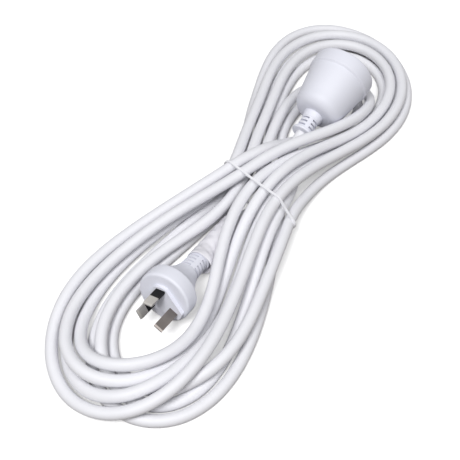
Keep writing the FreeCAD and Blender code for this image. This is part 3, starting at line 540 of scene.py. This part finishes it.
def mottledMaterial(name, colours, roughness, patch, bump=0.0, depth=0.0, **settings):
    # Clouds patch mm across shift colour and gloss between their two ends. The grain on them is a
    # twelfth of that across and depth mm deep: coarser than a real moulding's, or it wouldn't show
    material, tree, shader = plainMaterial(name, **settings)
    place = addNode(tree, "ShaderNodeTexCoord")
    cloud = addNode(tree, "ShaderNodeTexNoise",
                    {"Scale": 1 / (patch * mm), "Detail": 3.0, "Roughness": 0.55},
                    Vector=place.outputs["Object"])
    tone = addNode(tree, "ShaderNodeMix", {"data_type": "RGBA"}, Factor=cloud.outputs["Fac"])
    tone.inputs[6].default_value = linear(colours[0])
    tone.inputs[7].default_value = linear(colours[1])
    tree.links.new(tone.outputs[2], shader.inputs["Base Color"])
    gloss = addNode(tree, "ShaderNodeMapRange", {"To Min": roughness[0], "To Max": roughness[1]},
                    Value=cloud.outputs["Fac"])
    tree.links.new(gloss.outputs["Result"], shader.inputs["Roughness"])
    if bump:
        grain = addNode(tree, "ShaderNodeTexNoise", {"Scale": 12 / (patch * mm), "Detail": 2.0},
                        Vector=place.outputs["Object"])
        relief = addNode(tree, "ShaderNodeBump", {"Strength": bump, "Distance": depth * mm},
                         Height=grain.outputs["Fac"])
        tree.links.new(relief.outputs["Normal"], shader.inputs["Normal"])
    return material


# Extruded soft PVC: satin, a little cool, with a fine grain that the eye reads as soft
sheathPvc = mottledMaterial("extrudedPvcSheath", ("#E2E2E7", "#EAEAEE"), (0.5, 0.62), 16.7,
                            bump=0.25, depth=0.12, IOR=1.53)

# Injection moulded PVC: smoother than the sheath, cool white, with a soft broad gleam
mouldedPvc = mottledMaterial("mouldedPvc", ("#DFE0EA", "#E5E6EF"), (0.5, 0.6), 22.2,
                             bump=0.18, depth=0.08, IOR=1.53)

# Nickel plated brass blades, drawn: grey, with a cloudy gleam
nickelPlate = mottledMaterial("drawnNickelPlate", ("#AFACA8", "#C2BFBB"), (0.32, 0.48), 4.55,
                              bump=0.3, depth=0.04, Metallic=1.0)

# Painted reflection: the long blade is a darker, warmer grey than the other two, standing in for the dark
# surroundings it mirrors
reflectionDarkNickel = mottledMaterial("darkReflectionNickelPlate", ("#6E6865", "#8A8480"), (0.28, 0.44), 7.7,
                               bump=0.3, depth=0.04, Metallic=1.0)

# Moulded nylon skin on the pin roots: near black and satin, with almost no gleam
pinNylon = mottledMaterial("mouldedNylonSkin", ("#0A0A0C", "#111114"), (0.46, 0.58), 3.33,
                           bump=0.15, depth=0.03, IOR=1.5, Specular_IOR_Level=0.2)

# Stamped brass inside: warm, with a dull rolled surface
stampedBrass = mottledMaterial("stampedBrass", ("#BF9B52", "#D1AE66"), (0.3, 0.45), 2.5,
                               bump=0.1, depth=0.03, Metallic=1.0)

# Core insulation: thin glossy PVC in the three core colours
coreLooks = {}
for name, colours in (("brown", ("#5A3420", "#663D27")), ("blue", ("#1F4FB0", "#275ABF")),
                      ("green_yellow", ("#4E8F2D", "#5C9C37"))):
    coreLooks[name] = mottledMaterial(name + "CorePvc", colours, (0.3, 0.4), 5.0, IOR=1.53)

# Shrink film of the label sleeve: thin, glossier than the cord, with small crinkles
labelFilm = mottledMaterial("shrinkFilm", ("#E2E0E6", "#EAE9EE"), (0.26, 0.38), 11.1,
                            bump=0.5, depth=0.3, IOR=1.5)

# Moulded polythene strap of the tie: white and waxy
tiePolythene = mottledMaterial("polytheneStrap", ("#E8E8ED", "#F0F0F4"), (0.34, 0.46), 6.67,
                               bump=0.1, depth=0.04, IOR=1.51)


def finishPiece(piece, material, slotName, *nodes):
    piece.data.materials.clear()
    piece.data.materials.append(material)
    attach(piece, body)
    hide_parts(*nodes)


finishPiece(flexCord, sheathPvc, "cord_sheath", "cord_hank", "plug_tail", "socket_tail")


# Turned pieces: a profile of radius and distance behind the face, spun about the axis

def poseMatrix(face, way, roll):
    # local Z points out of the face; roll turns the piece about it
    forward = Vector(way)
    left = Vector((0, 0, 1)).cross(forward).normalized()
    up = forward.cross(left)
    turn = math.radians(roll)
    rightAxis = left * math.cos(turn) + up * math.sin(turn)
    upAxis = up * math.cos(turn) - left * math.sin(turn)
    pose = Matrix((rightAxis, upAxis, forward)).transposed().to_4x4()
    pose.translation = placed(face)
    return pose


def softProfile(corners, segments=5):
    # corners are radius, z and the rounding there; a rounding of 0 stays sharp
    points = []
    for i, (x, z, rounding) in enumerate(corners):
        here = Vector((x, z))
        if rounding == 0 or i in (0, len(corners) - 1):
            points.append(here)
            continue
        before = Vector(corners[i - 1][:2]) - here
        after = Vector(corners[i + 1][:2]) - here
        half = before.angle(after) / 2
        reach = min(rounding / math.tan(half), 0.48 * before.length, 0.48 * after.length)
        radius = reach * math.tan(half)
        first = here + before.normalized() * reach
        last = here + after.normalized() * reach
        centre = here + (before.normalized() + after.normalized()).normalized() * (radius / math.sin(half))
        a = first - centre
        b = last - centre
        swing = a.angle_signed(b)
        for k in range(segments + 1):
            share = k / segments
            c = math.cos(-swing * share)
            s = math.sin(-swing * share)
            points.append(centre + Vector((a.x * c - a.y * s, a.x * s + a.y * c)))
    return points


def spunMesh(profile, steps):
    bm = bmesh.new()
    verts = [bm.verts.new((p.x * mm, 0.0, p.y * mm)) for p in profile]
    edges = [bm.edges.new(pair) for pair in zip(verts, verts[1:])]
    bmesh.ops.spin(bm, geom=verts + edges, cent=(0, 0, 0), axis=(0, 0, 1), angle=2 * math.pi, steps=steps,
                   use_merge=True, use_duplicate=False)
    bmesh.ops.remove_doubles(bm, verts=bm.verts, dist=0.02 * mm)
    bmesh.ops.recalc_face_normals(bm, faces=bm.faces)
    return bm


def addPiece(name, bm, smooth=35.0):
    # smooth is the angle in degrees past which an edge stays sharp
    mesh = bpy.data.meshes.new(name)
    bm.to_mesh(mesh)
    bm.free()
    for face in mesh.polygons:
        face.use_smooth = True
    mesh.set_sharp_from_angle(angle=math.radians(smooth))
    piece = bpy.data.objects.new(name, mesh)
    bpy.context.scene.collection.objects.link(piece)
    return piece


# Strain reliefs: a ribbed neck with two columns of slots at each side of a web that faces the
# camera, then a collar where the cord comes out

reliefFacts = {
    "first": 2.6,     # from the relief's root to the far edge of its first slot
    "slot": 1.3,      # width of a slot along the cord
    "pitch": 3.2,     # from slot to slot
    "depth": 3.1,     # of a slot
    "lean": 48.0,     # from the web to the middle of a column, degrees
    "reach": 34.0,    # from that middle to the column's edge, degrees
    "step": 0.8,      # from the root to the relief's own width
    "foot": 0.4,      # from the last of the relief to its collar
    "bore": hank["cord"] / 2 + 0.05,
    "boreDepth": 6,
}


def reliefProfile(shape, root, tip):
    # the corners from the root to the tip, and each slot pair's low z, high z and middle angle
    near = (shape["relief"], root - reliefFacts["step"])
    far = (shape["reliefEnd"], tip + shape["collar"] + reliefFacts["foot"])
    bands = []
    for k in range(shape["slotRows"]):
        low = root - reliefFacts["first"] - reliefFacts["pitch"] * k
        for lean in (-reliefFacts["lean"], reliefFacts["lean"]):
            bands.append((low, low + reliefFacts["slot"], shape["webAngle"] + lean))
    slotEdges = []
    for z in sorted({z for band in bands for z in band[:2]}, reverse=True):
        share = (z - near[1]) / (far[1] - near[1])
        slotEdges.append((near[0] + (far[0] - near[0]) * share, z, 0))
    collar = shape["collarRadius"]
    soft = shape["collarRounding"]
    bore = reliefFacts["bore"]
    floor = tip + reliefFacts["boreDepth"]
    corners = [(shape["neck"], root, shape["neckRounding"]), (*near, 0.3), *slotEdges, (*far, 0),
               (collar, tip + shape["collar"], soft), (collar, tip, soft + 0.1),
               (bore, tip, 0), (bore, floor, 0), (0, floor, 0)]
    return corners, bands


def cutSlots(bm, bands):
    # the faces near a pair's middle angle, and those opposite, sink inwards
    for low, high, middleAngle in bands:
        chosen = []
        for face in bm.faces:
            c = face.calc_center_median()
            if not low * mm < c.z < high * mm or abs(face.normal.z) > 0.5 or c.xy.length < 2 * mm:
                continue
            away = (math.degrees(math.atan2(c.y, c.x)) - middleAngle) % 180.0
            if min(away, 180.0 - away) < reliefFacts["reach"]:
                chosen.append(face)
        if chosen:
            bmesh.ops.inset_region(bm, faces=chosen, thickness=0.02 * mm, depth=-reliefFacts["depth"] * mm,
                                   use_even_offset=True)


def turnMoulding(name, corners, bands, steps, pose, node):
    bm = spunMesh(softProfile(corners), steps)
    cutSlots(bm, bands)
    bm.transform(pose)
    finishPiece(addPiece(name, bm), mouldedPvc, "white_moulding", node)


# Plug: a thick round flange, a waisted cone behind it and the relief

plugShape = {
    "rim": 10.6, "rimDrop": 1.2, "rimRounding": (1.9, 2.6),
    "coneEnd": 27.0, "coneCurve": 1.35, "neck": 8.2, "neckRounding": 0.4,
    "relief": 7.5, "reliefEnd": 7.0, "slotRows": 4, "webAngle": -2.0,
    "collar": 2.2, "collarRadius": 7.7, "collarRounding": 0.6,
}


def plugCorners():
    outer = ends["plugRadius"]
    rim = plugShape["rim"]
    neck = plugShape["neck"]
    front, back = plugShape["rimRounding"]
    corners = [(0, 0, 0), (outer, 0, front), (outer, -rim, back)]
    flare = outer - plugShape["rimDrop"] - neck
    for k in range(1, 10):
        share = k / 10
        corners.append((neck + flare * (1 - share) ** plugShape["coneCurve"],
                        -rim - (plugShape["coneEnd"] - rim) * share, 0))
    relief, bands = reliefProfile(plugShape, -plugShape["coneEnd"], -ends["plugLength"])
    return corners + relief, bands


plugPose = poseMatrix(plugFace, plugAim, ends["plugRoll"])
turnMoulding("plugShell", *plugCorners(), 96, plugPose, "plug_body")

# Socket: front ring, tapering barrel, round shoulder and a short relief

socketShape = {
    "wall": 3.4, "recess": 1.6, "lipRounding": (0.5, 2.0), "step": 1.3, "stepRounding": (0.9, 0.5),
    "shoulder": 36.5, "shoulderRadius": 18.8, "barrelCurve": 1.15,
    "dome": 46.5, "domeCurve": 0.8, "domeFoot": 0.8, "neck": 7.0, "neckRounding": 0.5,
    "relief": 6.4, "reliefEnd": 6.4, "slotRows": 3, "webAngle": 76.0,
    "collar": 2.3, "collarRadius": ends["socketCollarRadius"], "collarRounding": 0.8,
}


def socketCorners():
    outer = ends["socketRadius"]
    ring = ends["socketRing"]
    inner = outer - socketShape["wall"]
    barrel = outer - socketShape["step"]
    start = ring + socketShape["step"]
    shoulder = socketShape["shoulder"]
    wide = socketShape["shoulderRadius"]
    corners = [(0, -socketShape["recess"], 0), (inner, -socketShape["recess"], 0),
               (inner, 0, socketShape["lipRounding"][0]), (outer, 0, socketShape["lipRounding"][1]),
               (outer, -ring, socketShape["stepRounding"][0]),
               (barrel, -start, socketShape["stepRounding"][1])]
    for k in range(1, 8):
        share = k / 8
        corners.append((barrel + (wide - barrel) * share ** socketShape["barrelCurve"],
                        -start - (shoulder - start) * share, 0))
    throat = socketShape["neck"] + socketShape["domeFoot"]
    for degrees in range(0, 91, 10):
        a = math.radians(degrees)
        corners.append((throat + (wide - throat) * math.cos(a) ** socketShape["domeCurve"],
                        -shoulder - (socketShape["dome"] - shoulder) * math.sin(a), 0))
    relief, bands = reliefProfile(socketShape, -ends["socketLength"], -socketBack)
    return corners + relief, bands


socketPose = poseMatrix(socketFace, socketAim, ends["socketRoll"])
turnMoulding("socketShell", *socketCorners(), 112, socketPose, "socket_body")
print("plug and socket turned")


# Thin pieces: rings of points bridged one to the next

def ringOf(bm, spots):
    made = bmesh.ops.create_circle(bm, segments=len(spots), radius=1.0)
    edges = []
    for vert, spot in zip(made["verts"], spots):
        vert.co = spot
        edges += [edge for edge in vert.link_edges if edge not in edges]
    return edges


def joinRings(bm, pairs):
    for one, other in pairs:
        bmesh.ops.bridge_loops(bm, edges=one + other)
    bmesh.ops.recalc_face_normals(bm, faces=bm.faces)


# Label sleeve: soft film shrunk flat at both sides of the cord, open at both ends

labelFacts = {
    "rows": 72,           # along the sleeve
    "around": 72,
    "wall": 0.5,
    "over": 3.5,          # how far the mouth reaches over the plug's relief
    "mouth": 15.0,        # how far from the mouth the film comes together
    "mouthWide": 9.3,     # half the mouth's width
    "mouthHigh": 8.3,     # half its height
    "mouthShift": 1.4,    # how far it sits to one side
    "bend": 6.0,          # length of each leg of the bend behind the relief
    "seam": 0.35,         # half the film's height at its two edges
    "crinkle": 0.2,
    "creases": (31, 47),  # how fast the two runs of creases follow each other
}


def filmPoint(share, gape, turn):
    # flat lens over the cord, nearly round where it stands open at the plug's relief
    across = math.cos(turn)
    side = math.copysign(1.0, math.sin(turn))
    wide = ends["labelWidth"] / 2 - labelFacts["wall"]
    high = ends["labelHeight"] / 2 - labelFacts["wall"]
    lens = labelFacts["seam"] + high * math.cos(math.pi / 2 * across) ** 0.75
    ring = labelFacts["mouthHigh"] * math.sqrt(max(0.0, 1 - across * across))
    wide += (labelFacts["mouthWide"] - wide) * gape
    one, other = labelFacts["creases"]
    crease = math.sin(one * share + 3 * across) + math.sin(other * share - 5 * across + 2 * side)
    creep = labelFacts["crinkle"] * crease * (0.35 + abs(across))
    return across * wide - labelFacts["mouthShift"] * gape, side * (lens + (ring - lens) * gape) + creep


labelStart = Vector(plugTail[1])
labelEnd = Vector(plugTail[2])
labelAhead = Vector(unit([q - p for p, q in zip(plugTail[1], plugTail[2])]))
mouthSpot = Vector(shifted(plugExit, plugAim, labelFacts["over"]))
mouthAhead = (labelStart - mouthSpot).normalized()
bendNear = labelStart - mouthAhead * labelFacts["bend"]
bendFar = labelStart + labelAhead * labelFacts["bend"]
legs = [(bendNear - mouthSpot).length, 2 * labelFacts["bend"], (labelEnd - bendFar).length]


def labelSpot(far):
    # middle of the sleeve: over the relief's end, round the bend and along the cord
    if far < legs[0]:
        return mouthSpot + mouthAhead * far, mouthAhead
    if far < legs[0] + legs[1]:
        u = (far - legs[0]) / legs[1]
        spot = bendNear * (1 - u) ** 2 + labelStart * (2 * u * (1 - u)) + bendFar * u * u
        return spot, (mouthAhead * (1 - u) + labelAhead * u).normalized()
    return bendFar + labelAhead * (far - legs[0] - legs[1]), labelAhead


def labelMesh():
    bm = bmesh.new()
    rings = []
    for row in range(labelFacts["rows"] + 1):
        share = row / labelFacts["rows"]
        far = share * sum(legs)
        spot, ahead = labelSpot(far)
        left = Vector((0, 0, 1)).cross(ahead).normalized()
        top = ahead.cross(left)
        near = max(0.0, 1 - far / labelFacts["mouth"])
        gape = near * near * (3 - 2 * near)
        spots = []
        for k in range(labelFacts["around"]):
            sideways, upwards = filmPoint(share, gape, 2 * math.pi * k / labelFacts["around"])
            spots.append(placed(spot + left * sideways + top * upwards))
        rings.append(ringOf(bm, spots))
    joinRings(bm, zip(rings, rings[1:]))
    return bm


labelSleeve = addPiece("labelSleeve", labelMesh(), smooth=60.0)
wall = labelSleeve.modifiers.new("wall", "SOLIDIFY")
wall.thickness = labelFacts["wall"] * mm
wall.offset = 1.0
finishPiece(labelSleeve, labelFilm, "label_film", "label_sleeve")


# Tie: a narrow strap drawn tight over the strands, dipping a little between them

tieFacts = {
    "width": 1.9,
    "thickness": 0.8,
    "gap": 0.35,      # between the strands and the strap
    "near": 3.2,      # how near the tie a strand's points count as under it
    "dip": 0.6,       # at most, in the middle of a free span
    "dipShare": 0.06,  # of a short span
    "freeSpan": 3.0,  # shorter spans stay straight
    "steps": 240,     # round the waist
    "section": ((-0.5, 0.12), (-0.38, 1.0), (0.38, 1.0), (0.5, 0.12), (0.42, 0.0), (-0.42, 0.0)),
}


def outerHull(points):
    points = sorted(set(points))
    halves = []
    for run in (points, points[::-1]):
        half = []
        for p in run:
            while len(half) > 1 and ((half[-1][0] - half[-2][0]) * (p[1] - half[-2][1])
                                     - (half[-1][1] - half[-2][1]) * (p[0] - half[-2][0])) <= 0:
                half.pop()
            half.append(p)
        halves += half[:-1]
    return halves


def tieLoop():
    # the line round all the strands at the waist, as places along the tie and heights
    reach = hank["cord"] / 2 + tieFacts["gap"]
    crossing = []
    for q in strand:
        if abs(pastTie(q)) < tieFacts["near"]:
            for degrees in range(0, 360, 15):
                a = math.radians(degrees)
                crossing.append((round(overTie(q) + reach * math.cos(a), 3),
                                 round(q[2] + reach * math.sin(a), 3)))
    return outerHull(crossing)


def tieMesh(loop, around):
    bm = bmesh.new()
    rings = []
    for step in range(tieFacts["steps"]):
        at = around[-1] * step / tieFacts["steps"]
        i = max(k for k in range(len(loop)) if around[k] <= at)
        one = Vector(loop[i])
        other = Vector(loop[(i + 1) % len(loop)])
        span = (other - one).length
        share = (at - around[i]) / span
        out = Vector((other.y - one.y, one.x - other.x)).normalized()
        dip = 0.0
        if span > tieFacts["freeSpan"]:
            dip = min(tieFacts["dip"], tieFacts["dipShare"] * span) * math.sin(math.pi * share)
        spot = one + (other - one) * share - out * dip
        spots = []
        for sideways, outwards in tieFacts["section"]:
            lane = spot + out * (outwards * tieFacts["thickness"])
            past = sideways * tieFacts["width"]
            spots.append(placed([waist[0] + tie[0] * lane.x + tie[1] * past,
                                 waist[1] + tie[1] * lane.x - tie[0] * past, lane.y]))
        rings.append(ringOf(bm, spots))
    joinRings(bm, zip(rings, rings[1:] + rings[:1]))
    return bm


loop = tieLoop()
around = [0.0]
for one, other in zip(loop, loop[1:] + loop[:1]):
    around.append(around[-1] + math.dist(one, other))
print("tie round the waist, about", round(around[-1]), "mm")
finishPiece(addPiece("tieStrap", tieMesh(loop, around), smooth=50.0), tiePolythene, "tie_band", "waist_tie")
print("label and tie made")


# CAD nodes that keep their own shape

keptLooks = {
    "plug_pin_bridge": mouldedPvc, "socket_face": mouldedPvc,
    # the earth pin's darker nickel is a painted reflection of dark surroundings, not wear
    "active_pin": nickelPlate, "neutral_pin": nickelPlate, "earth_pin": reflectionDarkNickel,
    "active_pin_sleeve": pinNylon, "neutral_pin_sleeve": pinNylon,
}
for name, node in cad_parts.items():
    look = keptLooks.get(name)
    if name.endswith(("_clip", "_crimp")):
        look = stampedBrass
    for core in coreLooks:
        if name.endswith(core + "_core"):
            look = coreLooks[core]
    if look:
        node.data.materials.clear()
        node.data.materials.append(look)
print("nodes painted")


# Floor and light: two soft lamps over the camera's side, and a pale even room

stageFacts = {
    "floorHalf": 3.0,       # metres
    "floorGlow": 0.35,      # what whitens the paper to the eye
    "roomLight": 0.22,      # from all round
    "keySize": 0.7, "keyPlace": (-0.95, 0.15, 1.7), "keyPower": 24.5,
    "fillSize": 1.2, "fillPlace": (-0.3, -0.75, 1.9), "fillPower": 12.5,
}


def addArea(name, size, place, power):
    data = bpy.data.lights.new(name, "AREA")
    data.shape = "DISK"
    data.size = size
    data.energy = power
    lamp = bpy.data.objects.new(name, data)
    lamp.location = place
    lamp.rotation_euler = (-Vector(place)).to_track_quat("-Z", "Y").to_euler()
    bpy.context.scene.collection.objects.link(lamp)


def seenRays(tree):
    # 1 for what the camera, a reflection or something clear looks at
    path = addNode(tree, "ShaderNodeLightPath")
    seen = addNode(tree, "ShaderNodeMath", {"operation": "MAXIMUM"}, i0=path.outputs["Is Camera Ray"],
                   i1=path.outputs["Is Glossy Ray"])
    both = addNode(tree, "ShaderNodeMath", {"operation": "MAXIMUM"}, i0=seen.outputs["Value"],
                   i1=path.outputs["Is Transmission Ray"])
    return both.outputs["Value"]


bm = bmesh.new()
bmesh.ops.create_grid(bm, x_segments=1, y_segments=1, size=stageFacts["floorHalf"])
floorMesh = bpy.data.meshes.new("paperFloor")
bm.to_mesh(floorMesh)
bm.free()
paperFloor = bpy.data.objects.new("paperFloor", floorMesh)
bpy.context.scene.collection.objects.link(paperFloor)

# Matt white paper. What bounces off it on to the cord is dim, so that the gaps stay dark
paper, tree, shader = plainMaterial("whitePaper", Base_Color=linear("#F4F4F4"), Roughness=0.9,
                                    Specular_IOR_Level=0.1)
glow = addNode(tree, "ShaderNodeEmission", {"Color": (1, 1, 1, 1), "Strength": stageFacts["floorGlow"]})
both = addNode(tree, "ShaderNodeAddShader", None, i0=shader.outputs["BSDF"], i1=glow.outputs["Emission"])
dim = addNode(tree, "ShaderNodeBsdfDiffuse", {"Color": linear("#6A625B")})
pick = addNode(tree, "ShaderNodeMixShader", None, i0=seenRays(tree), i1=dim.outputs["BSDF"],
               i2=both.outputs["Shader"])
tree.links.new(pick.outputs["Shader"], tree.nodes["Material Output"].inputs["Surface"])
paperFloor.data.materials.append(paper)

world = bpy.data.worlds.new("studio")
bpy.context.scene.world = world
world.use_nodes = True
tree = world.node_tree
soft = tree.nodes["Background"]
soft.inputs["Color"].default_value = (0.96, 0.97, 1.0, 1.0)
soft.inputs["Strength"].default_value = stageFacts["roomLight"]
white = addNode(tree, "ShaderNodeBackground", {"Color": (1, 1, 1, 1), "Strength": 1.0})
pick = addNode(tree, "ShaderNodeMixShader", None, i0=seenRays(tree), i1=soft.outputs["Background"],
               i2=white.outputs["Background"])
tree.links.new(pick.outputs["Shader"], tree.nodes["World Output"].inputs["Surface"])

addArea("keyLight", stageFacts["keySize"], stageFacts["keyPlace"], stageFacts["keyPower"])
addArea("fillLight", stageFacts["fillSize"], stageFacts["fillPlace"], stageFacts["fillPower"])
bpy.context.scene.view_settings.view_transform = "Standard"
print("stage set")
